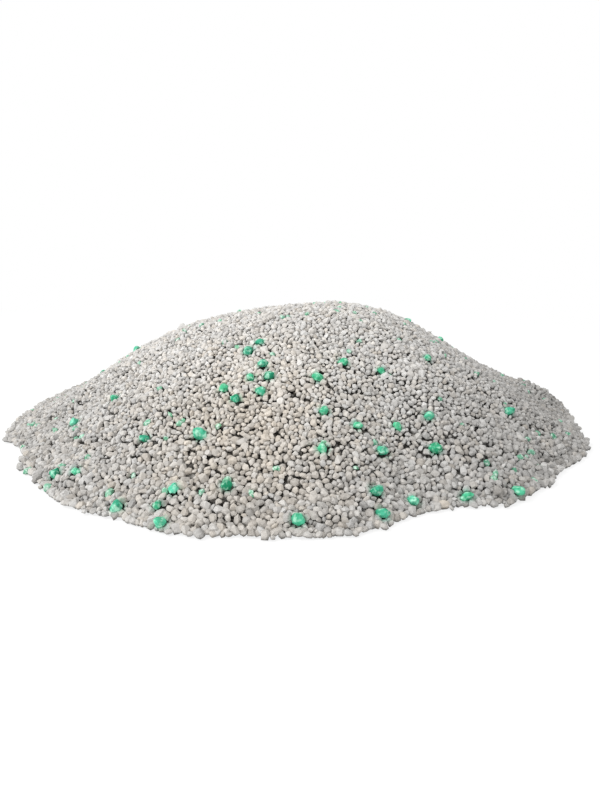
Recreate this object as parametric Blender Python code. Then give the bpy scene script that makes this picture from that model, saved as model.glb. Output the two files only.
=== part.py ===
# A heap of clay cat litter, poured out on a flat floor. Most of its granules are one solid
# with a pebbly skin. The green granules, and some grey ones along the toe, are pieces of
# their own, each in the pocket that its neighbours leave.
# Metres, +Z up. The origin is on the floor under the middle of the footprint, -Y is the front.

import math
import random

import bmesh
import bpy
from mathutils import Euler, Matrix, Vector

# Form of the heap
HEAP_RADIUS = 0.1248  # mean radius of the footprint
HEAP_HEIGHT = 0.056  # peak of the mound before its crown settles
CROWN_X = 0.0037
CROWN_Y = -0.008
CROWN_ROUNDING = 0.115  # a larger value gives a broader, rounder crown
FLANK_SAG = 1.2  # 1 gives plain flanks, more hollows them towards the toe
TOE_HEIGHT = 0.0028  # height of the outermost row of granules

# Lobes of the footprint: how many round the heap, how far they reach, and the bearing of one
FOOTPRINT_LOBES = (
    (2, 0.0044, math.radians(25)),
    (3, 0.0030, math.radians(27)),
)

# Tongues of spilled granules and bays between them: bearing, reach out or in, and half breadth
TOE_TONGUES = (
    (math.radians(207), -0.0062, math.radians(4)),
    (math.radians(219), -0.0030, math.radians(5)),
    (math.radians(237), 0.0020, math.radians(5)),
    (math.radians(254), 0.0040, math.radians(5)),
    (math.radians(272), 0.0035, math.radians(8)),
    (math.radians(290), -0.0056, math.radians(5)),
    (math.radians(304), 0.0060, math.radians(4)),
    (math.radians(315), 0.0030, math.radians(5)),
    (math.radians(333), 0.0042, math.radians(6)),
    (math.radians(353), -0.0030, math.radians(7)),
)

# The settled crown, the hollow of the right flank and the steep foot below it, and the thin
# left end: x, y, rise and spread
SURFACE_SWELLS = (
    (-0.011, 0.006, -0.004, 0.024),
    (0.087, 0.012, -0.005, 0.024),
    (0.118, 0.002, 0.012, 0.009),
    (-0.112, 0.006, -0.005, 0.016),
)

# Fused granules: one corner in three of the skin is a granule's top, and the rest lie between
SKIN_PITCH = 0.0035  # from one corner to the next
GRANULE_RISE = 0.0011  # how far a top stands above the mean surface
GAP_DEPTH = 0.0009  # how far the corners between granules lie below it
GRANULE_UNEVENNESS = 0.0005  # how far a corner strays from that height
GRANULE_SHIFT = 0.0010  # how far a corner is moved sideways
TOE_RAGGEDNESS = 0.0013  # how far the last row wanders in and out
TOE_UNDERCUT = 0.0004  # how far the last row draws in at the floor

# Separate granules
GREEN_LENGTH = 0.0042
GREEN_WIDTH = 0.0034
GREEN_THICKNESS = 0.0029
GREY_LENGTH = 0.0036
GREY_WIDTH = 0.0031
GREY_THICKNESS = 0.0027
SIZE_SPREAD = 0.18  # share by which one granule differs from the next
LUMPINESS = 0.12  # share by which a granule's skin rises and falls
GRANULE_CORNERS = 22  # corners of one granule
CORNER_WANDER = 0.25  # radians that a corner strays round the granule
GRANULE_TIP = math.radians(20)  # how far a granule tips out of the slope
POCKET_CLEARANCE = 0.0003
POCKET_FLOOR = 0.0006  # material left below the deepest pocket
PROUD_SHARE = 0.56  # share of a granule that stands above the mean surface
GRANULE_SPACING = 0.0072  # least distance between two scattered granules

# Green granules that catch the eye: bearing in degrees from +X, and reach from crown to toe
CROWN_GREENS = (
    (251, 0.40), (249, 0.445), (257, 0.50), (260, 0.545), (255, 0.55), (249, 0.60), (254, 0.63),
    (259, 0.60), (274, 0.55), (296, 0.55), (284, 0.50), (319, 0.53),
)
LEFT_GREENS = ((213, 0.84), (216, 0.72), (231, 0.93), (227, 0.965), (239, 0.79), (250, 0.75), (244, 0.985))
FRONT_GREENS = (
    (251, 0.905), (250, 0.953), (252, 0.995), (270, 0.97), (259, 0.885), (282, 0.985), (282, 0.92),
    (282, 0.725), (274, 0.78), (286, 0.82), (275, 0.665),
)
RIGHT_GREENS = ((288, 0.985), (297, 0.985), (305, 0.985), (292, 0.755), (300, 0.72), (326, 0.79), (297, 0.83))
SCATTERED_GREENS = 12  # more green granules, mostly round the back
SCATTER_REACH = (0.14, 0.94)
FRONT_LINE = -0.025  # the front, nearer than this, has its greens already
FRONT_SKIPPED = 0.8  # share of the places drawn there that are passed over
TOE_GREYS = 10  # loose grey granules along the toe
SCATTER_SEED = 41
GRANULE_SEED = 7
SURFACE_SEED = 23

# Colours, roughness
GREY_CLAY = (0.50, 0.48, 0.45)
PALE_CLAY = (0.66, 0.64, 0.60)
GREEN_CLAY = (0.10, 0.36, 0.22)
CLAY_ROUGHNESS = 0.92

HEXAGON_SIDES = 6


def clear_scene():
    for item in list(bpy.data.objects):
        bpy.data.objects.remove(item, do_unlink=True)


def new_collection(name):
    collection = bpy.data.collections.new(name)
    bpy.context.scene.collection.children.link(collection)
    return collection


def clay_material(name, colour):
    material = bpy.data.materials.new(name)
    material.use_nodes = True
    shader = material.node_tree.nodes["Principled BSDF"]
    shader.inputs["Base Color"].default_value = (*colour, 1.0)
    shader.inputs["Roughness"].default_value = CLAY_ROUGHNESS
    shader.inputs["Metallic"].default_value = 0.0
    return material


def footprint_radius(bearing):
    radius = HEAP_RADIUS
    for count, depth, turn in FOOTPRINT_LOBES:
        radius += depth * math.cos(count * (bearing - turn))
    for middle, depth, breadth in TOE_TONGUES:
        away = (bearing - middle + math.pi) % math.tau - math.pi
        radius += depth * math.exp(-0.5 * (away / breadth) ** 2)
    return radius


def heap_point(bearing, reach):
    """A point of the mean surface, from the crown at reach 0 to the toe at reach 1."""
    edge = footprint_radius(bearing)
    x = (1 - reach) * CROWN_X + reach * edge * math.cos(bearing)
    y = (1 - reach) * CROWN_Y + reach * edge * math.sin(bearing)

    rounding = CROWN_ROUNDING / HEAP_RADIUS
    fall = (math.hypot(reach, rounding) - rounding) / (math.hypot(1, rounding) - rounding)
    z = TOE_HEIGHT + (HEAP_HEIGHT - TOE_HEIGHT) * max(1 - fall, 0) ** FLANK_SAG
    for swell_x, swell_y, rise, spread in SURFACE_SWELLS:
        distance = math.hypot(x - swell_x, y - swell_y)
        z += rise * math.exp(-0.5 * (distance / spread) ** 2) * (1 - reach ** 6)
    return Vector((x, y, z))


def heap_normal(bearing, reach):
    step = 0.01
    reach = max(min(reach, 1 - step), step)
    outward = heap_point(bearing, reach + step) - heap_point(bearing, reach - step)
    around = heap_point(bearing + step, reach) - heap_point(bearing - step, reach)
    return outward.cross(around).normalized()


def hexagon_to_polar(x, y):
    """Bearing and reach of a point of the unit hexagon, whose rings become rings of the heap."""
    sector = math.tau / HEXAGON_SIDES
    angle = math.atan2(y, x) % math.tau
    index = math.floor(angle / sector)
    local = angle - (index + 0.5) * sector
    apothem = math.cos(sector / 2)
    along = apothem * math.tan(local)
    reach = math.hypot(x, y) * math.cos(local) / apothem
    return (index + 0.5 + along) * sector, min(reach, 1.0)


def is_granule_top(x, y, rings):
    """Whether a corner of the hexagon's lattice is a top: no two of them are neighbours."""
    row = round(y * rings / math.sin(math.tau / HEXAGON_SIDES))
    column = round(x * rings - row / 2)
    return (column - row) % 3 == 0


def make_heap(collection, material):
    """The fused granules: a triangle lattice laid over the mound, pebbled, and closed below."""
    draw = random.Random(SURFACE_SEED)
    rings = round(HEAP_RADIUS / SKIN_PITCH)
    bm = bmesh.new()
    upright = Matrix.Rotation(math.radians(30), 4, "Z")  # puts the hexagon's corners on its sectors
    bmesh.ops.create_circle(
        bm, cap_ends=True, cap_tris=True, segments=HEXAGON_SIDES, radius=1.0, matrix=upright
    )
    bmesh.ops.subdivide_edges(bm, edges=bm.edges[:], cuts=rings - 1, use_grid_fill=True)

    for vertex in bm.verts:
        bearing, reach = hexagon_to_polar(vertex.co.x, vertex.co.y)
        point = heap_point(bearing, reach)
        turn = draw.uniform(0, math.tau)
        shift = draw.uniform(0, GRANULE_SHIFT)
        lift = GRANULE_RISE if is_granule_top(vertex.co.x, vertex.co.y, rings) else -GAP_DEPTH
        lift += draw.uniform(-GRANULE_UNEVENNESS, GRANULE_UNEVENNESS)
        if vertex.is_boundary:
            point += Vector((math.cos(bearing), math.sin(bearing), 0)) * draw.uniform(-1, 1) * TOE_RAGGEDNESS
            point.z += lift / 2
        else:
            point += Vector((shift * math.cos(turn), shift * math.sin(turn), lift))
        vertex.co = point

    toe = [edge for edge in bm.edges if edge.is_boundary]
    skirt = bmesh.ops.extrude_edge_only(bm, edges=toe)["geom"]
    for vertex in (item for item in skirt if isinstance(item, bmesh.types.BMVert)):
        inward = Vector((-vertex.co.x, -vertex.co.y, 0)).normalized()
        vertex.co += inward * TOE_UNDERCUT
        vertex.co.z = 0.0
    rim = [item for item in skirt if isinstance(item, bmesh.types.BMEdge)]
    bmesh.ops.edgeloop_fill(bm, edges=rim)
    bmesh.ops.recalc_face_normals(bm, faces=bm.faces[:])
    return add_object("litter_heap", bm, collection, material)


def add_object(name, bm, collection, material):
    mesh = bpy.data.meshes.new(name)
    bm.to_mesh(mesh)
    bm.free()
    mesh.materials.append(material)
    item = bpy.data.objects.new(name, mesh)
    collection.objects.link(item)
    return item


def granule_shape(draw, length, width, thickness):
    """One crushed granule: the hull round corners spread evenly over a lumpy ellipsoid."""
    size = 1 + draw.uniform(-SIZE_SPREAD, SIZE_SPREAD)
    golden = math.pi * (3 - math.sqrt(5))
    bm = bmesh.new()
    for corner in range(GRANULE_CORNERS):
        height = 1 - 2 * (corner + 0.5) / GRANULE_CORNERS
        ring = math.sqrt(1 - height * height)
        angle = golden * corner + draw.uniform(-CORNER_WANDER, CORNER_WANDER)
        lump = 1 + draw.uniform(-LUMPINESS, LUMPINESS)
        point = Vector((ring * math.cos(angle), ring * math.sin(angle), height)) * lump * size / 2
        bm.verts.new((point.x * length, point.y * width, point.z * thickness))
    hull = bmesh.ops.convex_hull(bm, input=bm.verts[:])
    inner = [item for item in hull["geom_interior"] if isinstance(item, bmesh.types.BMVert)]
    bmesh.ops.delete(bm, geom=inner, context="VERTS")
    bmesh.ops.recalc_face_normals(bm, faces=bm.faces[:])
    return bm


def lie_on_heap(bm, draw, bearing, reach, thickness):
    """Turns a granule to the slope and sinks it to its pocket, clear of the floor."""
    spin = Matrix.Rotation(draw.uniform(0, math.tau), 4, "Z")
    tilts = [draw.uniform(-GRANULE_TIP, GRANULE_TIP) for _ in range(2)]
    tip = Euler((*tilts, 0)).to_matrix().to_4x4()
    normal = heap_normal(bearing, reach)
    slope = normal.to_track_quat("Z", "Y").to_matrix().to_4x4()
    bmesh.ops.transform(bm, matrix=slope @ tip @ spin, verts=bm.verts[:])
    centre = heap_point(bearing, reach) + normal * thickness * (PROUD_SHARE - 0.5)
    lowest = min(vertex.co.z for vertex in bm.verts)
    centre.z = max(centre.z, POCKET_FLOOR + POCKET_CLEARANCE - lowest)
    return centre


def lie_at_toe(bm, draw, bearing, width):
    """Stands a granule on the floor with half its width outside the last row."""
    spin = Matrix.Rotation(draw.uniform(0, math.tau), 4, "Z")
    bmesh.ops.transform(bm, matrix=spin, verts=bm.verts[:])
    outward = Vector((math.cos(bearing), math.sin(bearing), 0))
    centre = outward * (footprint_radius(bearing) + width * 0.25)
    centre.z = -min(vertex.co.z for vertex in bm.verts)
    return centre


def inner_radius(bm):
    """Distance from a granule's middle to the nearest of its facets."""
    bm.normal_update()
    return min(abs(face.normal.dot(face.verts[0].co)) for face in bm.faces)


def seat_granule(name, bm, centre, parts, pockets, material):
    """Adds a granule, and the cutter that leaves its clearance all round."""
    growth = 1 + POCKET_CLEARANCE / inner_radius(bm)
    pocket = bm.copy()
    bmesh.ops.scale(pocket, vec=(growth, growth, growth), verts=pocket.verts[:])

    granule = add_object(name, bm, parts, material)
    granule.location = centre
    granule.data.shade_smooth()
    granule.data.set_sharp_from_angle(angle=math.radians(35))

    cutter = add_object(name + "_pocket", pocket, pockets, material)
    cutter.location = centre
    cutter.hide_render = True
    cutter.display_type = "WIRE"


def scatter_places(draw, count, taken):
    """Places over the whole heap, none close to another granule, and more of them at the back."""
    places = []
    near, far = SCATTER_REACH
    while len(places) < count:
        bearing = draw.uniform(0, math.tau)
        reach = math.sqrt(draw.uniform(near ** 2, far ** 2))
        point = heap_point(bearing, reach)
        crowded = any((point - other).length < GRANULE_SPACING for other in taken)
        if crowded or (point.y < FRONT_LINE and draw.random() < FRONT_SKIPPED):
            continue
        places.append((bearing, reach))
        taken.append(point)
    return places


def toe_bearings(draw, count, taken):
    """Bearings round the toe, one in each equal share of it."""
    bearings = []
    share = math.tau / count
    while len(bearings) < count:
        bearing = (len(bearings) + draw.uniform(0.1, 0.9)) * share
        point = heap_point(bearing, 1.0)
        if all((point - other).length > GRANULE_SPACING for other in taken):
            bearings.append(bearing)
            taken.append(point)
    return bearings


def make_granules(parts, pockets, green, grey):
    places_draw = random.Random(SCATTER_SEED)
    shape_draw = random.Random(GRANULE_SEED)
    chosen = CROWN_GREENS + LEFT_GREENS + FRONT_GREENS + RIGHT_GREENS
    places = [(math.radians(bearing), reach) for bearing, reach in chosen]
    taken = [heap_point(bearing, reach) for bearing, reach in places]
    places += scatter_places(places_draw, SCATTERED_GREENS, taken)

    for number, (bearing, reach) in enumerate(places, start=1):
        bm = granule_shape(shape_draw, GREEN_LENGTH, GREEN_WIDTH, GREEN_THICKNESS)
        centre = lie_on_heap(bm, shape_draw, bearing, reach, GREEN_THICKNESS)
        seat_granule(f"green_granule_{number:02d}", bm, centre, parts, pockets, green)

    for number, bearing in enumerate(toe_bearings(places_draw, TOE_GREYS, taken), start=1):
        bm = granule_shape(shape_draw, GREY_LENGTH, GREY_WIDTH, GREY_THICKNESS)
        centre = lie_at_toe(bm, shape_draw, bearing, GREY_WIDTH)
        seat_granule(f"grey_toe_granule_{number:02d}", bm, centre, parts, pockets, grey)


def cut_pockets(heap, pockets):
    cut = heap.modifiers.new("granule pockets", "BOOLEAN")
    cut.operation = "DIFFERENCE"
    cut.operand_type = "COLLECTION"
    cut.collection = pockets
    cut.solver = "EXACT"


def main():
    clear_scene()
    parts = new_collection("cat_litter_heap")
    pockets = new_collection("granule_pockets")
    grey = clay_material("grey_clay", GREY_CLAY)
    pale = clay_material("pale_clay", PALE_CLAY)
    green = clay_material("green_granule", GREEN_CLAY)

    heap = make_heap(parts, grey)
    make_granules(parts, pockets, green, pale)
    cut_pockets(heap, pockets)


main()
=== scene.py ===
import math

import bmesh
import bpy
import numpy as np
from mathutils import Euler, Matrix, Vector
from mathutils.bvhtree import BVHTree
from mathutils.kdtree import KDTree


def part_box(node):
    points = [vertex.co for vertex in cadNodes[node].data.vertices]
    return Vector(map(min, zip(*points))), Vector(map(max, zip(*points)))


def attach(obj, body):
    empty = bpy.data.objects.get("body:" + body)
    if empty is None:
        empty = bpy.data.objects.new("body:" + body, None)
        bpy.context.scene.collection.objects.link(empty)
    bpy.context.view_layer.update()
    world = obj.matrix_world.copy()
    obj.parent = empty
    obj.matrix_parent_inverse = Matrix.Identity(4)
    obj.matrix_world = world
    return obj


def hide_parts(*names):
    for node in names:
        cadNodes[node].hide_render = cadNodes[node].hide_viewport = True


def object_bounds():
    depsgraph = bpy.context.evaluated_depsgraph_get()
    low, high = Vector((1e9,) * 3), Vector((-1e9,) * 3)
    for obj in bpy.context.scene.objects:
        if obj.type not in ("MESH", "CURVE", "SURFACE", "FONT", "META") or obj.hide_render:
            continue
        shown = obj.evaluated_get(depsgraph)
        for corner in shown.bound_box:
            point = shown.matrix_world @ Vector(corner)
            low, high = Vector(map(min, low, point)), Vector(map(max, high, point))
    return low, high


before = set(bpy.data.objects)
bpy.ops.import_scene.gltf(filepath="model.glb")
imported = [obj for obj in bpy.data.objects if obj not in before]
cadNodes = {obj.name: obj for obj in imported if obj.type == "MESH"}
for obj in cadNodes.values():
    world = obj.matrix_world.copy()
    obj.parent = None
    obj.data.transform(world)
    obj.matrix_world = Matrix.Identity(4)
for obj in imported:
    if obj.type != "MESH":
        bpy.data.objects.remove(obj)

# A heap of loose clay cat litter, seen from low in front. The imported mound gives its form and
# the places of the bold green grains. Thousands of grains are settled over it, in two layers.

cadLow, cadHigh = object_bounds()
millimetre = 0.001


# The mound's own surface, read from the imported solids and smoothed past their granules

mound = {
    "cell": 2 * millimetre,  # spacing of the height grid
    "margin": 10 * millimetre,  # how far the grid runs past the mound
    "smoothing": 1.6,  # in cells
    "toeSteps": 240,  # bearings at which the toe is measured
    "leastWeight": 1e-3,  # keeps the smoothing from dividing by nothing
    "inside": 0.98,  # smoothed weight of the cells that lie well inside the mound
    "rimHeight": 0.1 * millimetre,  # corners below this lie on the floor
}


def gaussianBlur(grid, sigma):
    reach = int(3 * sigma)
    offsets = np.arange(-reach, reach + 1)
    kernel = np.exp(-0.5 * (offsets / sigma) ** 2)
    kernel /= kernel.sum()
    rows = np.apply_along_axis(np.convolve, 0, grid, kernel, mode="same")
    return np.apply_along_axis(np.convolve, 1, rows, kernel, mode="same")


def readMound():
    corners, faces = [], []
    for node in cadNodes.values():
        first = len(corners)
        corners += [node.matrix_world @ vertex.co for vertex in node.data.vertices]
        faces += [[first + corner for corner in face.vertices] for face in node.data.polygons]
    tree = BVHTree.FromPolygons(corners, faces)
    half = max(abs(cadLow.x), cadHigh.x, abs(cadLow.y), cadHigh.y) + mound["margin"]
    axis = np.arange(-half, half, mound["cell"])
    height = np.zeros((len(axis), len(axis)))
    hit = np.zeros_like(height)
    above = cadHigh.z + mound["margin"]
    for i, x in enumerate(axis):
        for j, y in enumerate(axis):
            place = tree.ray_cast(Vector((x, y, above)), Vector((0, 0, -1)))[0]
            if place:
                height[i, j] = place.z
                hit[i, j] = 1
    weight = gaussianBlur(hit, mound["smoothing"])
    smooth = gaussianBlur(height, mound["smoothing"]) / np.maximum(weight, mound["leastWeight"])
    mound["origin"] = axis[0]
    mound["height"] = smooth
    slopeX, slopeY = np.gradient(smooth, mound["cell"])
    mound["slopeX"] = gaussianBlur(slopeX, mound["smoothing"])
    mound["slopeY"] = gaussianBlur(slopeY, mound["smoothing"])
    slope = np.hypot(mound["slopeX"], mound["slopeY"])[weight > mound["inside"]]
    mound["leastUpright"] = 1 / math.sqrt(1 + slope.max() ** 2)  # height of the steepest place's normal

    heap = cadNodes["litter_heap"]
    ground = [heap.matrix_world @ vertex.co for vertex in heap.data.vertices]
    rim = np.array([corner[:2] for corner in ground if corner.z < mound["rimHeight"]])
    bearing = np.arctan2(rim[:, 1], rim[:, 0])
    radius = np.hypot(rim[:, 0], rim[:, 1])
    steps = np.linspace(-math.pi, math.pi, mound["toeSteps"] + 1)
    order = np.argsort(bearing)
    toe = np.interp(steps, bearing[order], radius[order], period=math.tau)
    mound["toeBearing"] = steps
    mound["toeRadius"] = toe
    print("mound read:", len(axis), "x", len(axis), "cells, toe radius", round(toe.mean(), 4))


def sampleGrid(grid, x, y):
    u = (x - mound["origin"]) / mound["cell"]
    v = (y - mound["origin"]) / mound["cell"]
    i = np.clip(u.astype(int), 0, grid.shape[0] - 2)
    j = np.clip(v.astype(int), 0, grid.shape[1] - 2)
    a = np.clip(u - i, 0, 1)
    b = np.clip(v - j, 0, 1)
    low = grid[i, j] * (1 - a) + grid[i + 1, j] * a
    high = grid[i, j + 1] * (1 - a) + grid[i + 1, j + 1] * a
    return low * (1 - b) + high * b


# Height of the mound, and its unit normals, at arrays of places
def surfaceAt(x, y):
    height = sampleGrid(mound["height"], x, y)
    slopeX = sampleGrid(mound["slopeX"], x, y)
    slopeY = sampleGrid(mound["slopeY"], x, y)
    normal = np.stack([-slopeX, -slopeY, np.ones_like(slopeX)], axis=1)
    return height, normal / np.linalg.norm(normal, axis=1)[:, None]


def toeRadiusAt(x, y):
    return np.interp(np.arctan2(y, x), mound["toeBearing"], mound["toeRadius"])


# How far grains may stand above a grain on the floor, from the toe inwards
def stepUp(inward):
    return packing["toeRise"] * inward * (1 + inward / packing["toeBand"])


# How deep places lie under the outermost grains, whose rows step down to the floor at the toe
def depthAt(places):
    x, y, z = places.T
    height, normal = surfaceAt(x, y)
    inward = np.maximum(toeRadiusAt(x, y) - np.hypot(x, y), 0)
    top = np.minimum(height, stepUp(inward) + packing["toeTop"])
    return (top - z) * normal[:, 2]


readMound()


# Settling: balls of the grains' sizes are pushed apart over the mound, in a set number of rounds.
# A slight overlap is left between some of them.

packing = {
    "meanRadius": 0.96 * millimetre,
    "radiusSpread": 0.18,  # of the natural logarithm of the radius
    "smallest": 0.50 * millimetre,
    "largest": 1.70 * millimetre,
    "toeCoarser": 1.32,  # coarse grains roll to the toe
    "toeFrom": 0.72,  # share of the way from the middle where that begins
    "toeThinner": 0.06,  # share of the places left out there to leave them room
    "layerDepth": 1.9 * millimetre,  # centres lie this far down at most, under the top ones
    "topDepth": 0.50 * millimetre,  # centre of a top grain below the mound's surface
    "proudSpread": 0.30 * millimetre,  # how much one top grain stands above the next
    "fill": 0.86,  # share of the layer's room that grain takes
    "rounds": 110,
    "regroupEvery": 6,  # rounds between two searches for neighbours
    "stiffness": 0.42,
    "toeWander": 1.0 * millimetre,  # how far the last row strays over the toe
    "toeReach": 2.8 * millimetre,  # and its furthest grains
    "toeRise": 0.75,  # steepness of the last rows, from one grain on the floor
    "toeBand": 20 * millimetre,  # how soon those rows meet the mound's own slope
    "toeTop": 2.1 * millimetre,  # height of the grains on the floor
    "toeHold": 0.6,  # share of a grain's radius that stays within the toe
    "searchSlack": 1.25,  # pairs up to this many contacts apart are followed between two searches
    "leastDistance": 1e-6,  # metres, keeps pushes and pulls from dividing by nothing
    "leastShare": 1e-9,  # and so does this, between two fixed balls
    "seed": 11,
}


# Pairs of points in the same or touching cells of a grid as wide as the largest contact
def neighbourPairs(points, reach):
    cell = np.floor(points / reach).astype(np.int64)
    cell -= cell.min(axis=0) - 1
    size = cell.max(axis=0) + 2
    key = (cell[:, 0] * size[1] + cell[:, 1]) * size[2] + cell[:, 2]
    order = np.argsort(key, kind="stable")
    ranked = key[order]
    places = np.arange(len(points))
    first, second = [], []
    for dx in (-1, 0, 1):
        for dy in (-1, 0, 1):
            for dz in (-1, 0, 1):
                if (dx, dy, dz) < (0, 0, 0):
                    continue
                offset = (dx * size[1] + dy) * size[2] + dz
                start = np.searchsorted(ranked, ranked + offset, "left")
                if (dx, dy, dz) == (0, 0, 0):
                    start = places + 1
                stop = np.searchsorted(ranked, ranked + offset, "right")
                count = np.maximum(stop - start, 0)
                skipped = np.repeat(np.cumsum(count) - count, count)
                within = np.arange(count.sum()) - skipped
                first.append(order[np.repeat(places, count)])
                second.append(order[np.repeat(start, count) + within])
    return np.concatenate(first), np.concatenate(second)


# An even spiral of places over a round field
def spiralPlaces(count, fieldRadius):
    number = np.arange(count)
    away = fieldRadius * np.sqrt((number + 0.5) / count)
    bearing = number * math.pi * (3 - math.sqrt(5))
    return away * np.cos(bearing), away * np.sin(bearing)


holes = {
    "spacing": 0.9 * millimetre,  # between the places that are tried
    "depths": (0.9 * millimetre, 1.6 * millimetre),  # below the mound's surface
    "toeInset": 2.0 * millimetre,  # none goes in nearer to the toe than this
    "search": 3.0 * millimetre,  # how far neighbours are looked for
    "least": 0.48 * millimetre,  # radius of a ball that has to fit before a grain goes in
    "growth": 1.15,  # of the grain over that ball
    "apart": 1.4 * millimetre,  # between two that are added
}


# Places and radii of more grains, wherever a hole gapes between the settled ones
def fillHoles(settled, settledRadii):
    tree = KDTree(len(settled))
    for number, place in enumerate(settled):
        tree.insert(place, number)
    tree.balance()
    toe = mound["toeRadius"].max()
    x, y = spiralPlaces(int(math.pi * (toe / holes["spacing"]) ** 2), toe)
    inward = toeRadiusAt(x, y) - np.hypot(x, y)
    inside = inward > holes["toeInset"]
    x, y, inward = x[inside], y[inside], inward[inside]
    height, normal = surfaceAt(x, y)
    spots = []
    for depth in holes["depths"]:
        z = np.minimum(height - depth / normal[:, 2], packing["meanRadius"] + stepUp(inward))
        spots.append(np.stack([x, y, np.maximum(z, packing["meanRadius"])], axis=1))
    spots = np.concatenate(spots)
    room = np.full(len(spots), packing["meanRadius"])
    for number, spot in enumerate(spots):
        for _, index, distance in tree.find_range(spot, holes["search"]):
            room[number] = min(room[number], distance - settledRadii[index])
    added = np.zeros((0, 3))
    sizes = []
    for number in np.argsort(-room, kind="stable"):
        if room[number] < holes["least"]:
            break
        if len(added) and np.linalg.norm(added - spots[number], axis=1).min() < holes["apart"]:
            continue
        added = np.concatenate([added, spots[number:number + 1]])
        sizes.append(room[number] * holes["growth"])
    print("filled", len(sizes), "holes")
    return added, np.array(sizes)


def settleGrains(fixedPlaces, fixedRadii):
    draw = np.random.default_rng(packing["seed"])
    toe = mound["toeRadius"].max()

    # The mean ball is larger than a ball of the mean radius, because the cubes spread further
    cubeGrowth = math.exp(4.5 * packing["radiusSpread"] ** 2)
    ball = 4 / 3 * math.pi * packing["meanRadius"] ** 3 * cubeGrowth
    crowding = packing["fill"] * (packing["layerDepth"] + packing["meanRadius"]) / ball
    steepest = 1 / mound["leastUpright"]

    # An even spiral of places, left out in turn where the slope is slight or the grains are coarse
    x, y = spiralPlaces(int(crowding * steepest * math.pi * toe * toe), toe)
    reach = np.hypot(x, y) / toeRadiusAt(x, y)
    coarser = np.clip((reach - packing["toeFrom"]) / (1 - packing["toeFrom"]), 0, 1)
    share = (1 - packing["toeThinner"] * coarser) / surfaceAt(x, y)[1][:, 2] / steepest
    share = np.where(reach < 1, np.clip(share, 0, 1), 0)
    total = np.cumsum(share)
    kept = np.floor(total) > np.floor(total - share)
    x, y, coarser = x[kept], y[kept], coarser[kept]
    count = len(x)
    radius = packing["meanRadius"] * np.exp(draw.normal(0, packing["radiusSpread"], count))
    radius *= 1 + (packing["toeCoarser"] - 1) * coarser
    radius = np.clip(radius, packing["smallest"], packing["largest"])
    points = np.stack([x, y, np.zeros(count)], axis=1)
    points[:, :2] += draw.normal(0, packing["meanRadius"] / 2, (count, 2))
    height, normal = surfaceAt(points[:, 0], points[:, 1])
    depth = packing["topDepth"] + draw.uniform(0, 1, count) * packing["layerDepth"]
    points[:, 2] = height - depth / normal[:, 2]
    cap = packing["topDepth"] + draw.normal(0, packing["proudSpread"], count)
    wander = np.clip(draw.normal(0, packing["toeWander"], count), -packing["toeReach"], packing["toeReach"])

    points = np.concatenate([points, fixedPlaces])
    radius = np.concatenate([radius, fixedRadii])
    mobile = np.concatenate([np.ones(count), np.zeros(len(fixedPlaces))])
    free = slice(0, count)
    contact = 2 * packing["largest"]
    follow = contact * packing["searchSlack"]
    for step in range(packing["rounds"]):
        if step % packing["regroupEvery"] == 0:
            first, second = neighbourPairs(points, contact)
            near = np.linalg.norm(points[first] - points[second], axis=1) < follow
            first, second = first[near], second[near]
        apart = points[second] - points[first]
        distance = np.maximum(np.linalg.norm(apart, axis=1), packing["leastDistance"])
        overlap = radius[first] + radius[second] - distance
        touching = overlap > 0
        a, b = first[touching], second[touching]
        share = mobile[a] + mobile[b] + packing["leastShare"]
        push = apart[touching] / distance[touching][:, None]
        push *= (overlap[touching] * packing["stiffness"] / share)[:, None]
        for k in range(3):
            points[:, k] -= np.bincount(a, push[:, k] * mobile[a], len(points))
            points[:, k] += np.bincount(b, push[:, k] * mobile[b], len(points))

        x, y = points[free, 0], points[free, 1]
        away = np.hypot(x, y)
        edge = toeRadiusAt(x, y) - radius[free] * packing["toeHold"]
        limit = edge + wander
        pull = np.minimum(limit / np.maximum(away, packing["leastDistance"]), 1.0)
        points[free, 0] *= pull
        points[free, 1] *= pull
        height, normal = surfaceAt(points[free, 0], points[free, 1])
        inward = np.maximum(np.maximum(edge, limit) - away, 0)
        highest = np.minimum(height - cap / normal[:, 2], radius[free] + stepUp(inward))
        lowest = height - (packing["topDepth"] + packing["layerDepth"]) / normal[:, 2]
        lowest = np.minimum(lowest, highest)
        points[free, 2] = np.clip(points[free, 2], lowest, highest)
        points[free, 2] = np.maximum(points[free, 2], radius[free])
    leftOver = round(float(overlap[touching].mean() / millimetre), 3)
    print("settled", count, "grains; left over", leftOver, "mm")
    added, sizes = fillHoles(points, radius)
    points = np.concatenate([points[free], added])
    radius = np.concatenate([radius[free], sizes])
    return points, radius, depthAt(points), surfaceAt(points[:, 0], points[:, 1])[1]


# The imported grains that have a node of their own

greenNodes = sorted(name for name in cadNodes if name.startswith("green_granule"))
toeNodes = sorted(name for name in cadNodes if name.startswith("grey_toe_granule"))

dye = {
    "reach": 1.3 * millimetre,  # how far it rubs off around a bold green grain
    "strength": 0.75,
}


def nodeMiddle(name):
    low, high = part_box(name)
    return (low + high) / 2, (high - low) / 2


# Middles and mean radii of nodes, as arrays
def nodeBalls(nodes):
    measures = [nodeMiddle(name) for name in nodes]
    middles = np.array([middle for middle, half in measures])
    meanRadii = np.array([sum(half) / 3 for middle, half in measures])
    return middles, meanRadii


greenMiddles, greenSizes = nodeBalls(greenNodes)


# Grain shapes: crushed lumps with corners spread over a ball, and their own flat layout

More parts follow.
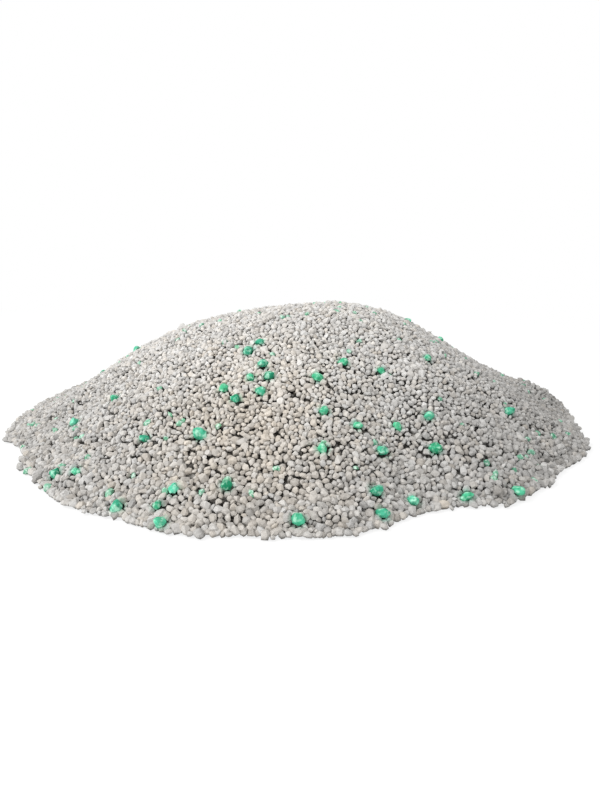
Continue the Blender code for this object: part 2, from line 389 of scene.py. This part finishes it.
shapes = {
    "seed": 5,
    "lean": 0.5,  # radians that grains tip from the slope, by chance
    "bulgeWaves": 3,  # how fast the broad rises follow each other
    "bulgePhase": 1,
    "skin": {
        "kinds": 18,
        "corners": 20,
        "cornerWander": 0.30,  # radians
        "bulge": 0.13,  # broad rises and flats
        "roughness": 0.20,  # from one corner to the next
        "lobes": 0,
        "chips": 2,  # flat breaks across each grain
        "chipDepth": 0.78,  # of the grain's radius, from its middle to a break
        "sharpFrom": 0.45,  # radians between two facets whose edge stays sharp
    },
    "deep": {
        "kinds": 6,
        "corners": 11,
        "cornerWander": 0.30,
        "bulge": 0.13,
        "roughness": 0.16,
        "lobes": 0,
        "chips": 2,
        "chipDepth": 0.78,
        "sharpFrom": 0.45,
    },
    "bold": {
        "corners": 60,
        "cornerWander": 0.20,
        "bulge": 0.12,
        "roughness": 0.11,
        "lobes": 4,  # crumbs stuck to the grain
        "chips": 3,
        "chipDepth": 0.80,
        "sharpFrom": 0.60,
    },
}
lobe = {
    "rise": 0.42,  # of the grain's radius
    "width": 0.13,  # how soon it falls away, as one less the cosine of the angle
}


def grainMesh(name, draw, shape):
    golden = math.pi * (3 - math.sqrt(5))
    grain = bmesh.new()
    for corner in range(shape["corners"]):
        height = 1 - 2 * (corner + 0.5) / shape["corners"]
        ring = math.sqrt(1 - height * height)
        angle = golden * corner + draw.uniform(-1, 1) * shape["cornerWander"]
        grain.verts.new((ring * math.cos(angle), ring * math.sin(angle), height))
    bmesh.ops.convex_hull(grain, input=grain.verts[:])

    axis = Vector(draw.normal(size=3)).normalized()
    chips = [Vector(draw.normal(size=3)).normalized() for _ in range(shape["chips"])]
    lobes = [Vector(draw.normal(size=3)).normalized() for _ in range(shape["lobes"])]
    for corner in grain.verts:
        spoke = corner.co.normalized()
        wave = math.sin(shapes["bulgeWaves"] * spoke.dot(axis) + shapes["bulgePhase"])
        swell = 1 + shape["bulge"] * wave + draw.uniform(-1, 1) * shape["roughness"]
        for chip in chips:
            facing = spoke.dot(chip)
            if facing * swell > shape["chipDepth"]:
                swell = shape["chipDepth"] / facing
        for middle in lobes:
            swell += lobe["rise"] * math.exp((spoke.dot(middle) - 1) / lobe["width"])
        corner.co = spoke * swell
    bmesh.ops.recalc_face_normals(grain, faces=grain.faces[:])
    for face in grain.faces:
        face.smooth = True
    for edge in grain.edges:
        edge.smooth = edge.calc_face_angle() < shape["sharpFrom"]
    mesh = bpy.data.meshes.new(name)
    grain.to_mesh(mesh)
    grain.free()
    return mesh


unfolding = {
    "upper": 0.25,  # middle of a grain's upper faces across the unit square
    "lower": 0.75,  # and of its lower ones
    "halfway": 0.5,  # middle of both, up the square
    "widthPerRadius": 0.18,
    "heightPerRadius": 0.36,
}


# Each face's corners in a unit square: its upper faces on the left, its lower on the right
def flatLayout(mesh):
    layout = np.zeros((len(mesh.loops), 2))
    for face in mesh.polygons:
        side = unfolding["upper"] if face.normal.z >= 0 else unfolding["lower"]
        for loop in face.loop_indices:
            corner = mesh.vertices[mesh.loops[loop].vertex_index].co
            across = side + corner.x * unfolding["widthPerRadius"]
            layout[loop] = across, unfolding["halfway"] + corner.y * unfolding["heightPerRadius"]
    return layout


def grainKinds(stem, kinds, shape, draw):
    meshes = [grainMesh(f"{stem}{kind}", draw, shape) for kind in range(kinds)]
    return [(mesh, flatLayout(mesh)) for mesh in meshes]


# Lifts a grain that would dip through the floor, to stand on it
def liftToFloor(matrix, mesh):
    lowest = min((matrix @ corner.co).z for corner in mesh.vertices)
    return Matrix.Translation((0, 0, max(-lowest, 0))) @ matrix


# Lays a grain on the slope, its shortest way up, turned and tipped by chance
def grainMatrix(place, normal, size, draw):
    slope = Vector(normal).to_track_quat("Z", "Y").to_matrix()
    tip = Euler((draw.normal(0, shapes["lean"]), draw.normal(0, shapes["lean"]), 0)).to_matrix()
    spin = Matrix.Rotation(draw.uniform(0, math.tau), 3, "Z")
    turn = (slope @ tip @ spin).to_4x4()
    return Matrix.Translation(place) @ turn @ Matrix.Diagonal((*size, 1))


# How much green dye has rubbed off onto places beside the bold green grains, from 0 to 1
def rubAt(places):
    rub = np.zeros(len(places))
    for middle, size in zip(greenMiddles, greenSizes):
        away = np.linalg.norm(places - middle, axis=1) - size
        rub = np.maximum(rub, np.clip(1 - away / dye["reach"], 0, 1))
    return dye["strength"] * rub


# One piece from many grains: each is a kind of mesh, its matrix, its tone with any painted light and shade,
# and its warmth
def gatherGrains(name, grains, kinds, material):
    bm = bmesh.new()
    vertexCounts, tones, warmths, layouts = [], [], [], []
    across = math.ceil(math.sqrt(len(grains)))
    for number, (kind, matrix, tone, warmth) in enumerate(grains):
        mesh, layout = kinds[kind]
        stamp = mesh.copy()
        stamp.transform(matrix)
        bm.from_mesh(stamp)
        bpy.data.meshes.remove(stamp)
        vertexCounts.append(len(mesh.vertices))
        tones.append(tone)
        warmths.append(warmth)
        layouts.append((layout + (number % across, number // across)) / across)
    mesh = bpy.data.meshes.new(name)
    bm.to_mesh(mesh)
    bm.free()
    places = np.zeros(3 * len(mesh.vertices), np.float32)
    mesh.vertices.foreach_get("co", places)
    places = places.reshape(-1, 3).astype(float)
    vertexValues = {
        "grainToneAndLight": np.repeat(tones, vertexCounts),
        "grainWarmth": np.repeat(warmths, vertexCounts),
        # depth under the outermost grains, which the materials turn into painted shade
        "grainDepth": depthAt(places) / millimetre,
        "grainRub": rubAt(places),
    }
    for label, values in vertexValues.items():
        layer = mesh.attributes.new(label, "FLOAT", "POINT")
        layer.data.foreach_set("value", values.astype(np.float32))
    uv = mesh.uv_layers.new(name="OFBake")
    uv.data.foreach_set("uv", np.concatenate(layouts).astype(np.float32).ravel())
    mesh.materials.append(material)
    piece = bpy.data.objects.new(name, mesh)
    bpy.context.scene.collection.objects.link(piece)
    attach(piece, "root")
    print(name, len(grains), "grains,", len(mesh.polygons), "faces")
    return piece


# Materials: one group lays the clay's tones and the painted shade between grains, one its crumbly skin

def newGroup(name, inputs, outputs):
    group = bpy.data.node_groups.new(name, "ShaderNodeTree")
    for kind, label, value in inputs:
        socket = group.interface.new_socket(name=label, in_out="INPUT", socket_type=kind)
        socket.default_value = value
    for kind, label in outputs:
        group.interface.new_socket(name=label, in_out="OUTPUT", socket_type=kind)
    return group, group.nodes.new("NodeGroupInput"), group.nodes.new("NodeGroupOutput")


def mixColour(tree, factor, first, second, blend="MIX"):
    node = tree.nodes.new("ShaderNodeMix")
    node.data_type = "RGBA"
    node.blend_type = blend
    for socket, value in ((node.inputs[0], factor), (node.inputs[6], first), (node.inputs[7], second)):
        if isinstance(value, bpy.types.NodeSocket):
            tree.links.new(value, socket)
        else:
            socket.default_value = value
    return node.outputs[2]


def noiseAt(tree, coordinates, scale, detail):
    node = tree.nodes.new("ShaderNodeTexNoise")
    node.inputs["Detail"].default_value = detail
    tree.links.new(coordinates, node.inputs["Vector"])
    tree.links.new(scale, node.inputs["Scale"])
    return node.outputs["Fac"]


def remap(tree, value, fromLow, fromHigh, toLow, toHigh):
    node = tree.nodes.new("ShaderNodeMapRange")
    tree.links.new(value, node.inputs["Value"])
    bounds = {"From Min": fromLow, "From Max": fromHigh, "To Min": toLow, "To Max": toHigh}
    for label, number in bounds.items():
        node.inputs[label].default_value = number
    return node.outputs["Result"]


def multiply(tree, first, second):
    node = tree.nodes.new("ShaderNodeMath")
    node.operation = "MULTIPLY"
    tree.links.new(first, node.inputs[0])
    tree.links.new(second, node.inputs[1])
    return node.outputs["Value"]


# Painted shade: the clay is darkened by depth under the outermost grains, where shade falls between them
paintedCavityShade = {
    "depths": (0.70, 1.90),  # in millimetres: from where to where painted shade darkens the clay between grains
    "strength": 0.90,
    "tint": (0.10, 0.095, 0.088, 1),
}
speckles = {
    "mottle": (0.35, 0.68),  # noise from where to where the clay mottles
    "mottleDetail": 3.0,
    "dust": (0.48, 0.66),  # and from where to where dust lies on it
    "dustDetail": 2.0,
    "skinDetail": 2.0,  # of the crumbly skin's lumps and specks
}


def clayToneAndShadeGroup():
    group, given, result = newGroup(
        "clayToneAndShade",
        [
            ("NodeSocketVector", "Place", (0, 0, 0)),
            ("NodeSocketFloat", "Tone", 0.5),
            ("NodeSocketFloat", "Warmth", 0.5),
            ("NodeSocketFloat", "Depth", 0.0),
            ("NodeSocketColor", "Dark", (0.3, 0.3, 0.3, 1)),
            ("NodeSocketColor", "Light", (0.8, 0.8, 0.8, 1)),
            ("NodeSocketColor", "Warm Tint", (1, 0.9, 0.8, 1)),
            ("NodeSocketColor", "Shade Tint", (0.6, 0.6, 0.6, 1)),
            ("NodeSocketColor", "Dust", (0.8, 0.8, 0.8, 1)),
            ("NodeSocketFloat", "Rub", 0.0),
            ("NodeSocketColor", "Rub Tint", (1, 1, 1, 1)),
            ("NodeSocketFloat", "Mottle Scale", 900.0),
            ("NodeSocketFloat", "Mottle Strength", 0.3),
            ("NodeSocketFloat", "Dust Scale", 1500.0),
            ("NodeSocketFloat", "Dust Strength", 0.2),
        ],
        [("NodeSocketColor", "Color")],
    )
    ports = given.outputs
    toned = mixColour(group, ports["Tone"], ports["Dark"], ports["Light"])
    tinted = mixColour(group, 1.0, toned, ports["Warm Tint"], "MULTIPLY")
    warmed = mixColour(group, ports["Warmth"], toned, tinted)
    mottleNoise = noiseAt(group, ports["Place"], ports["Mottle Scale"], speckles["mottleDetail"])
    mottle = remap(group, mottleNoise, *speckles["mottle"], 0.0, 1.0)
    shaded = mixColour(group, 1.0, warmed, ports["Shade Tint"], "MULTIPLY")
    mottled = mixColour(group, multiply(group, mottle, ports["Mottle Strength"]), warmed, shaded)
    dustNoise = noiseAt(group, ports["Place"], ports["Dust Scale"], speckles["dustDetail"])
    patches = remap(group, dustNoise, *speckles["dust"], 0.0, 1.0)
    dusted = mixColour(group, multiply(group, patches, ports["Dust Strength"]), mottled, ports["Dust"])
    dyed = mixColour(group, 1.0, dusted, ports["Rub Tint"], "MULTIPLY")
    rubbed = mixColour(group, ports["Rub"], dusted, dyed)
    # Painted shade between the grains, deepening with depth
    buried = remap(group, ports["Depth"], *paintedCavityShade["depths"], 0.0, paintedCavityShade["strength"])
    deep = mixColour(group, 1.0, rubbed, paintedCavityShade["tint"], "MULTIPLY")
    group.links.new(mixColour(group, buried, rubbed, deep), result.inputs["Color"])
    return group


def crumblySkinGroup():
    group, given, result = newGroup(
        "crumblySkin",
        [
            ("NodeSocketVector", "Place", (0, 0, 0)),
            ("NodeSocketFloat", "Lump Scale", 1100.0),
            ("NodeSocketFloat", "Speck Scale", 4200.0),
            ("NodeSocketFloat", "Lump Depth", 0.00012),
            ("NodeSocketFloat", "Speck Depth", 0.00003),
        ],
        [("NodeSocketVector", "Normal")],
    )
    ports = given.outputs
    lumpNoise = noiseAt(group, ports["Place"], ports["Lump Scale"], speckles["skinDetail"])
    lumps = multiply(group, lumpNoise, ports["Lump Depth"])
    speckNoise = noiseAt(group, ports["Place"], ports["Speck Scale"], speckles["skinDetail"])
    specks = multiply(group, speckNoise, ports["Speck Depth"])
    total = group.nodes.new("ShaderNodeMath")
    group.links.new(lumps, total.inputs[0])
    group.links.new(specks, total.inputs[1])
    bump = group.nodes.new("ShaderNodeBump")
    bump.inputs["Distance"].default_value = 1.0
    bump.inputs["Strength"].default_value = 1.0
    group.links.new(total.outputs["Value"], bump.inputs["Height"])
    group.links.new(bump.outputs["Normal"], result.inputs["Normal"])
    return group


clayToneAndShade = clayToneAndShadeGroup()
crumblySkin = crumblySkinGroup()

greyClay = {
    "dark": (0.135, 0.130, 0.123, 1),
    "light": (0.655, 0.646, 0.630, 1),
    "warm": (1.0, 0.92, 0.82, 1),
    "shade": (0.62, 0.60, 0.58, 1),
    "dust": (0.70, 0.69, 0.67, 1),
    "rub": (0.42, 0.90, 0.74, 1),
    "mottleScale": 900.0,
    "mottleStrength": 0.35,
    "dustScale": 1500.0,
    "dustStrength": 0.15,
    "roughness": 0.95,
    "sheen": 0.2,
}
greenClay = {
    "dark": (0.004, 0.235, 0.135, 1),
    "light": (0.130, 0.580, 0.385, 1),
    "warm": (0.85, 1.0, 0.80, 1),
    "shade": (0.25, 0.50, 0.42, 1),
    "dust": (0.46, 0.76, 0.60, 1),
    "rub": (1, 1, 1, 1),
    "mottleScale": 520.0,
    "mottleStrength": 0.85,
    "dustScale": 700.0,
    "dustStrength": 0.60,
    "roughness": 0.85,
    "sheen": 0.2,
}

dustyClay = {
    **greenClay,
    "dark": (0.070, 0.260, 0.160, 1),
    "light": (0.330, 0.600, 0.450, 1),
    "dust": (0.55, 0.66, 0.59, 1),
    "dustScale": 1100.0,
    "dustStrength": 0.90,
}


# Which input of the tone group each value of a look goes to
lookPorts = {
    "dark": "Dark",
    "light": "Light",
    "warm": "Warm Tint",
    "shade": "Shade Tint",
    "dust": "Dust",
    "rub": "Rub Tint",
    "mottleScale": "Mottle Scale",
    "mottleStrength": "Mottle Strength",
    "dustScale": "Dust Scale",
    "dustStrength": "Dust Strength",
}


def clayMaterial(name, look):
    material = bpy.data.materials.new(name)
    material.use_nodes = True
    tree = material.node_tree
    shader = tree.nodes["Principled BSDF"]
    shader.inputs["Roughness"].default_value = look["roughness"]
    shader.inputs["Specular IOR Level"].default_value = look["sheen"]
    place = tree.nodes.new("ShaderNodeTexCoord").outputs["Object"]

    tones = tree.nodes.new("ShaderNodeGroup")
    tones.node_tree = clayToneAndShade
    for label, port in lookPorts.items():
        tones.inputs[port].default_value = look[label]
    tree.links.new(place, tones.inputs["Place"])
    readings = {"grainToneAndLight": "Tone", "grainWarmth": "Warmth", "grainDepth": "Depth", "grainRub": "Rub"}
    for label, port in readings.items():
        reader = tree.nodes.new("ShaderNodeAttribute")
        reader.attribute_name = label
        tree.links.new(reader.outputs["Fac"], tones.inputs[port])
    tree.links.new(tones.outputs["Color"], shader.inputs["Base Color"])

    skin = tree.nodes.new("ShaderNodeGroup")
    skin.node_tree = crumblySkin
    tree.links.new(place, skin.inputs["Place"])
    tree.links.new(skin.outputs["Normal"], shader.inputs["Normal"])
    return material


greyMaterial = clayMaterial("grey_clay_grains", greyClay)
greenMaterial = clayMaterial("green_clay_grains", greenClay)
dustyMaterial = clayMaterial("dusty_green_clay_grains", dustyClay)


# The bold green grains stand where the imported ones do

boldGrains = {
    "growth": 1.14,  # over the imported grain's half sizes
    "toneLow": 0.15,
    "toneHigh": 0.85,
    "seed": 17,
}


def boldPiece(name, nodes, material, seed):
    draw = np.random.default_rng(seed)
    kinds = grainKinds(name + "Kind", len(nodes), shapes["bold"], draw)
    grains = []
    for kind, node in enumerate(nodes):
        middle, half = nodeMiddle(node)
        reach = [max(abs(corner.co[axis]) for corner in kinds[kind][0].vertices) for axis in range(3)]
        size = [boldGrains["growth"] * half[axis] / reach[axis] for axis in range(3)]
        matrix = liftToFloor(Matrix.Translation(middle) @ Matrix.Diagonal((*size, 1)), kinds[kind][0])
        tone = draw.uniform(boldGrains["toneLow"], boldGrains["toneHigh"])
        grains.append((kind, matrix, tone, draw.uniform(0, 1)))
    piece = gatherGrains(name, grains, kinds, material)
    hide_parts(*nodes)


boldPiece("green_grains_bold", greenNodes, greenMaterial, boldGrains["seed"])
boldPiece("toe_grains_bold", toeNodes, greyMaterial, boldGrains["seed"] + 1)

toeMiddles, toeSizes = nodeBalls(toeNodes)
fixedPlaces = np.concatenate([greenMiddles, toeMiddles])
fixedRadii = np.concatenate([greenSizes, toeSizes])
points, radii, depths, normals = settleGrains(fixedPlaces, fixedRadii)


# The grains over the whole mound, in sectors seen from above

litter = {
    "skinDepth": 1.40 * millimetre,  # centres above this are seen, and get the finer shapes
    "swell": 1.03,  # a grain over its settled ball, so that neighbours bed in
    "long": 1.16,  # longest, middle and shortest way through a grain, over its mean
    "middle": 1.00,
    "short": 0.87,
    "sizeJitter": 0.12,
    "toneMean": 0.75,
    "toneSpread": 0.09,
    "crownLight": 0.08,  # painted light: paler at the crown
    # Painted shade: darker towards the toe, and at the right end
    "toeShade": -0.21,
    "rightShade": -0.16,
    "deepShade": 0.72,  # painted shade: grains under the top ones are painted darker
    "palest": 1.1,  # highest tone of a grain
    "crownWidth": 0.35,  # of the way from the middle to the toe
    "toeFrom": 0.55,  # share of that way where the toe's painted shade begins
    "toeFade": 0.35,
    "rightFrom": 0.045,  # metres to the right where the right end's painted shade and greyer hue are half there
    "rightFade": 0.018,
    "greenShare": 0.03,  # small green grains among the grey ones that may be green
    "greenDepth": 0.80 * millimetre,  # centres of those lie above this, so that they show
    "greenLeast": 1.0 * millimetre,  # and their radius is at least this
    "warmPatch": (-0.016, -0.094),  # middle of the beige patch
    "warmSpread": 0.024,
    "patchTone": 0.05,  # and that patch is a little paler
    "warmthMean": 0.16,
    "warmthSpread": 0.22,  # from one grain to the next
    "patchWarmth": 0.62,
    "rightWarmth": -0.14,
    "seed": 29,
}

sectorNames = (
    "right",
    "right_back",
    "back_right",
    "back_left",
    "left_back",
    "left",
    "front_left",
    "front_right",
)


# How far a place lies towards the right end, from 0 to 1
def rightShare(x):
    return 1 / (1 + np.exp(-(x - litter["rightFrom"]) / litter["rightFade"]))


# How far a place lies in the beige patch of the front, from 0 to 1
def patchShare(x, y):
    patchX, patchY = litter["warmPatch"]
    return np.exp(-((x - patchX) ** 2 + (y - patchY) ** 2) / (2 * litter["warmSpread"] ** 2))


def warmthAt(x, y):
    warmth = litter["warmthMean"] + litter["patchWarmth"] * patchShare(x, y)
    return warmth + litter["rightWarmth"] * rightShare(x)


# Tone of the grains by place: their mean and the paler beige patch, with painted light at the crown and
# painted shade at the toe and the right end
def toneAndLightAt(x, y):
    reach = np.hypot(x, y) / toeRadiusAt(x, y)
    crown = np.exp(-0.5 * (reach / litter["crownWidth"]) ** 2)
    toe = np.clip((reach - litter["toeFrom"]) / litter["toeFade"], 0, 1)
    tone = litter["toneMean"] + litter["crownLight"] * crown + litter["patchTone"] * patchShare(x, y)
    return tone + litter["toeShade"] * toe + litter["rightShade"] * rightShare(x)


def layGrains():
    draw = np.random.default_rng(litter["seed"])
    shapeDraw = np.random.default_rng(shapes["seed"])
    skinCount = shapes["skin"]["kinds"]
    deepCount = shapes["deep"]["kinds"]
    kinds = grainKinds("skinGrain", skinCount, shapes["skin"], shapeDraw)
    kinds += grainKinds("deepGrain", deepCount, shapes["deep"], shapeDraw)
    warm = warmthAt(points[:, 0], points[:, 1])
    # tone of each grain, with painted light and shade by place
    toneAndLight = toneAndLightAt(points[:, 0], points[:, 1])
    bearing = np.arctan2(points[:, 1], points[:, 0]) % math.tau
    sectors = len(sectorNames)
    sector = (bearing / (math.tau / sectors)).astype(int) % sectors
    heaps = [[] for _ in range(sectors)]
    greens = []
    for number, place in enumerate(points):
        seen = depths[number] < litter["skinDepth"]
        kind = draw.integers(skinCount) if seen else skinCount + draw.integers(deepCount)
        jitter = 1 + draw.normal(0, litter["sizeJitter"], 3)
        size = np.array([litter["long"], litter["middle"], litter["short"]]) * jitter * litter["swell"]
        matrix = grainMatrix(place, normals[number], size * radii[number], draw)
        if place[2] < 2 * radii[number]:
            matrix = liftToFloor(matrix, kinds[kind][0])
        # Grains under the top ones are darkened by painted shade
        tone = draw.normal(toneAndLight[number], litter["toneSpread"]) * (1 if seen else litter["deepShade"])
        tone = float(np.clip(tone, 0.0, litter["palest"]))
        warmth = float(np.clip(warm[number] + draw.normal(0, litter["warmthSpread"]), 0, 1))
        mayBeGreen = depths[number] < litter["greenDepth"] and radii[number] > litter["greenLeast"]
        if mayBeGreen and draw.uniform() < litter["greenShare"]:
            greens.append((kind, matrix, tone, warmth))
        else:
            heaps[sector[number]].append((kind, matrix, tone, warmth))
    for label, grains in zip(sectorNames, heaps):
        gatherGrains("grey_grains_" + label, grains, kinds, greyMaterial)
    gatherGrains("green_grains_small", greens, kinds, dustyMaterial)


layGrains()


# The core under the grains: a closed mound, so that no gap shows the floor through the heap. Its colour is
# painted shade: grey cells with near-black painted shadow between them, for the grains deeper down

core = {
    "rings": 26,
    "depth": 3.0 * millimetre,  # below the mound's surface
    "toeInset": 2.2 * millimetre,
    "bottom": 0.25 * millimetre,
    "cellScale": 430.0,  # about one cell to a grain
    "gaps": (0.25, 0.62),  # distance from a cell's middle, from where to where it turns to gap
    # clay is painted shade, a grey darker than the grains' own; gapShade is painted shadow
    "clay": (0.42, 0.40, 0.37, 1),
    "gapShade": (0.03, 0.027, 0.024, 1),
    "bumpDepth": 0.0008,
    "sheen": 0.1,
    "sides": 6,  # of the flat figure that is bent to the mound
}


def coreMaterial():
    material = bpy.data.materials.new("shaded_grains")
    material.use_nodes = True
    tree = material.node_tree
    shader = tree.nodes["Principled BSDF"]
    shader.inputs["Roughness"].default_value = greyClay["roughness"]
    shader.inputs["Specular IOR Level"].default_value = core["sheen"]
    place = tree.nodes.new("ShaderNodeTexCoord").outputs["Object"]
    cells = tree.nodes.new("ShaderNodeTexVoronoi")
    cells.inputs["Scale"].default_value = core["cellScale"]
    tree.links.new(place, cells.inputs["Vector"])
    gaps = remap(tree, cells.outputs["Distance"], *core["gaps"], 0.0, 1.0)
    grey = mixColour(tree, gaps, core["clay"], core["gapShade"])
    tree.links.new(grey, shader.inputs["Base Color"])
    bump = tree.nodes.new("ShaderNodeBump")
    bump.invert = True
    bump.inputs["Distance"].default_value = core["bumpDepth"]
    tree.links.new(cells.outputs["Distance"], bump.inputs["Height"])
    tree.links.new(bump.outputs["Normal"], shader.inputs["Normal"])
    return material


def makeCore():
    bm = bmesh.new()
    bmesh.ops.create_circle(bm, cap_ends=True, cap_tris=True, segments=core["sides"], radius=1.0)
    bmesh.ops.subdivide_edges(bm, edges=bm.edges[:], cuts=core["rings"] - 1, use_grid_fill=True)
    wedge = math.tau / core["sides"]
    for vertex in bm.verts:
        bearing = math.atan2(vertex.co.y, vertex.co.x)
        local = (bearing - wedge / 2) % wedge - wedge / 2
        reach = vertex.co.xy.length * math.cos(local) / math.cos(wedge / 2)
        edge = float(np.interp(bearing, mound["toeBearing"], mound["toeRadius"])) - core["toeInset"]
        vertex.co = (math.cos(bearing) * edge * reach, math.sin(bearing) * edge * reach, 0)
    flat = np.array([vertex.co[:] for vertex in bm.verts])
    height, normal = surfaceAt(flat[:, 0], flat[:, 1])
    sunk = np.maximum(height - core["depth"] / normal[:, 2], 2 * core["bottom"])
    for vertex, z in zip(bm.verts, sunk):
        vertex.co.z = z
    rim = bmesh.ops.extrude_edge_only(bm, edges=[edge for edge in bm.edges if edge.is_boundary])["geom"]
    for vertex in (item for item in rim if isinstance(item, bmesh.types.BMVert)):
        vertex.co.z = core["bottom"]
    bmesh.ops.edgeloop_fill(bm, edges=[item for item in rim if isinstance(item, bmesh.types.BMEdge)])
    bmesh.ops.recalc_face_normals(bm, faces=bm.faces[:])
    mesh = bpy.data.meshes.new("litter_core")
    bm.to_mesh(mesh)
    bm.free()
    mesh.materials.append(coreMaterial())
    piece = bpy.data.objects.new("litter_core", mesh)
    bpy.context.scene.collection.objects.link(piece)
    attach(piece, "root")
    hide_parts("litter_heap")
    print("core", len(mesh.polygons), "faces")


makeCore()


# Floor, lights and camera

studio = {
    "floorSize": 6.0,
    "floorColour": (0.86, 0.86, 0.86, 1),
    "floorWhite": 0.80,  # share of plain white that the camera sees in the floor by the heap
    "whiteFrom": 0.17,  # from here outwards the floor fades into the white behind it
    "whiteTo": 0.50,
    "skyStrength": 0.90,
    "keySize": 0.70,
    "keyPower": 8.0,
    "keyPlace": (-0.72, -0.30, 0.80),
    "fillSize": 0.8,
    "fillPower": 3.0,
    "fillPlace": (-0.25, -0.9, 0.45),
    "target": (0.0, 0.0, 0.015),
}

cameraView = {
    "place": (0.0005, -0.2986, 0.0859),
    "pitchDown": 0.258,
    "focalPixels": 656.0,
    "frameHeight": 800.0,  # pixels of the photograph's long side
    "sensor": 36.0,
    "clipStart": 0.005,
}


def makeFloor():
    bm = bmesh.new()
    bmesh.ops.create_grid(bm, x_segments=1, y_segments=1, size=studio["floorSize"] / 2)
    mesh = bpy.data.meshes.new("floor")
    bm.to_mesh(mesh)
    bm.free()
    material = bpy.data.materials.new("pale_floor")
    material.use_nodes = True
    tree = material.node_tree
    shader = tree.nodes["Principled BSDF"]
    shader.inputs["Base Color"].default_value = studio["floorColour"]
    shader.inputs["Roughness"].default_value = 1.0
    shader.inputs["Specular IOR Level"].default_value = 0.0
    white = tree.nodes.new("ShaderNodeEmission")
    white.inputs["Color"].default_value = (1, 1, 1, 1)
    rays = tree.nodes.new("ShaderNodeLightPath")
    away = tree.nodes.new("ShaderNodeVectorMath")
    away.operation = "LENGTH"
    tree.links.new(tree.nodes.new("ShaderNodeTexCoord").outputs["Object"], away.inputs[0])
    whiteness = remap(
        tree, away.outputs["Value"], studio["whiteFrom"], studio["whiteTo"], studio["floorWhite"], 1.0
    )
    share = multiply(tree, rays.outputs["Is Camera Ray"], whiteness)
    blend = tree.nodes.new("ShaderNodeMixShader")
    tree.links.new(share, blend.inputs[0])
    tree.links.new(shader.outputs["BSDF"], blend.inputs[1])
    tree.links.new(white.outputs["Emission"], blend.inputs[2])
    tree.links.new(blend.outputs["Shader"], tree.nodes["Material Output"].inputs["Surface"])
    mesh.materials.append(material)
    floor = bpy.data.objects.new("floor", mesh)
    bpy.context.scene.collection.objects.link(floor)


def makeSky():
    world = bpy.data.worlds.new("studio")
    bpy.context.scene.world = world
    world.use_nodes = True
    tree = world.node_tree
    soft = tree.nodes["Background"]
    soft.inputs["Strength"].default_value = studio["skyStrength"]
    soft.inputs["Color"].default_value = (1, 1, 1, 1)
    white = tree.nodes.new("ShaderNodeBackground")
    white.inputs["Color"].default_value = (1, 1, 1, 1)
    rays = tree.nodes.new("ShaderNodeLightPath")
    blend = tree.nodes.new("ShaderNodeMixShader")
    tree.links.new(rays.outputs["Is Camera Ray"], blend.inputs[0])
    tree.links.new(soft.outputs["Background"], blend.inputs[1])
    tree.links.new(white.outputs["Background"], blend.inputs[2])
    tree.links.new(blend.outputs["Shader"], tree.nodes["World Output"].inputs["Surface"])


def makeLamp(name, place, size, power):
    lamp = bpy.data.lights.new(name, "AREA")
    lamp.shape = "DISK"
    lamp.size = size
    lamp.energy = power
    holder = bpy.data.objects.new(name, lamp)
    holder.location = place
    holder.rotation_euler = (Vector(studio["target"]) - Vector(place)).to_track_quat("-Z", "Y").to_euler()
    bpy.context.scene.collection.objects.link(holder)


def makeCamera():
    lens = bpy.data.cameras.new("photo_camera")
    lens.sensor_width = cameraView["sensor"]
    lens.lens = cameraView["focalPixels"] / cameraView["frameHeight"] * cameraView["sensor"]
    lens.clip_start = cameraView["clipStart"]
    holder = bpy.data.objects.new("photo_camera", lens)
    holder.location = cameraView["place"]
    holder.rotation_euler = (math.pi / 2 - cameraView["pitchDown"], 0, 0)
    bpy.context.scene.collection.objects.link(holder)
    bpy.context.scene.camera = holder


makeFloor()
makeSky()
makeLamp("key_softbox", studio["keyPlace"], studio["keySize"], studio["keyPower"])
makeLamp("front_fill", studio["fillPlace"], studio["fillSize"], studio["fillPower"])
makeCamera()
bpy.context.scene.view_settings.view_transform = "Standard"
